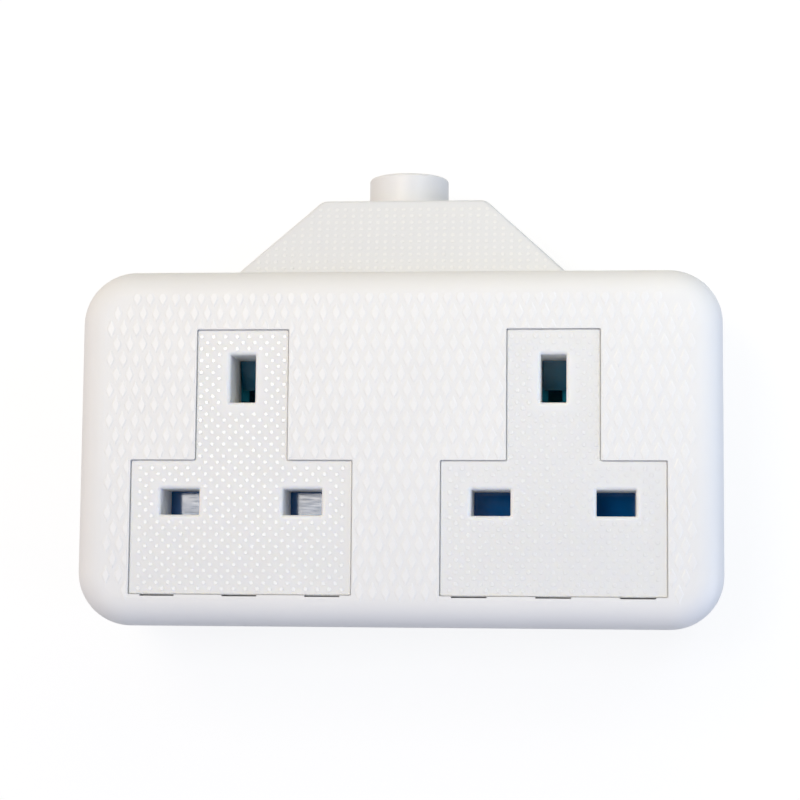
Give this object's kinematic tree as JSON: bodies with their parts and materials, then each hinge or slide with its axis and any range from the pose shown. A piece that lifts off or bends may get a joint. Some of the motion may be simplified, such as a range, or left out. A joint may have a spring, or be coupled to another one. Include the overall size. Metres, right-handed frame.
{
  "type": "trailing extension socket",
  "caption": "Trailing extension socket: rounded box with T-shaped socket faces for flat three-pin plugs, sprung shutters and a tapered cable entry with a sleeve.",
  "frame": {"origin": "centre of the main body's flat back", "axes": "+X right on the face, +Y towards the cable entry, +Z out of the socket face; the part lies on its back"},
  "size_m": [0.1164, 0.0847, 0.036],
  "materials": {
    "cover_plastic": "white, moulded diamond texture, satin",
    "insert_plastic": "white, moulded raised dots, satin",
    "base_plastic": "white, fine dots on the neck, satin",
    "sleeve_plastic": "white, smooth, slightly soft",
    "shutter_plastic": "dark blue, glossy",
    "guide_plastic": "off-white, plain",
    "spring_steel": "bright spring wire",
    "contact_brass": "formed brass",
    "screw_steel": "zinc plated"
  },
  "bodies": {
    "housing": {"front_cover": "cover_plastic", "rear_base": "base_plastic", "cord_sleeve": "sleeve_plastic", "left_socket_insert": "insert_plastic", "right_socket_insert": "insert_plastic", "left_shutter_spring": "spring_steel", "right_shutter_spring": "spring_steel", "left_shutter_guide": "guide_plastic", "right_shutter_guide": "guide_plastic", "line_busbar": "contact_brass", "neutral_busbar": "contact_brass", "earth_busbar": "contact_brass", "line_terminal": "contact_brass", "neutral_terminal": "contact_brass", "earth_terminal": "contact_brass", "line_terminal_screw": "screw_steel", "neutral_terminal_screw": "screw_steel", "earth_terminal_screw": "screw_steel", "cord_clamp_bar": "guide_plastic", "cord_clamp_screws": "screw_steel", "case_screws": "screw_steel"},
    "left_shutter": {"left_shutter": "shutter_plastic"},
    "right_shutter": {"right_shutter": "shutter_plastic"}
  },
  "joints": [
    {"name": "left_shutter_slide", "type": "slide", "parent": "housing", "child": "left_shutter", "axis": [0, 1, 0], "range_m": [0, 0.0049], "stiffness_N_per_m": 100, "springref_m": -0.003, "deforming": ["left_shutter_spring"]},
    {"name": "right_shutter_slide", "type": "slide", "parent": "housing", "child": "right_shutter", "axis": [0, 1, 0], "range_m": [0, 0.0049], "stiffness_N_per_m": 100, "springref_m": -0.003, "deforming": ["right_shutter_spring"]}
  ]
}
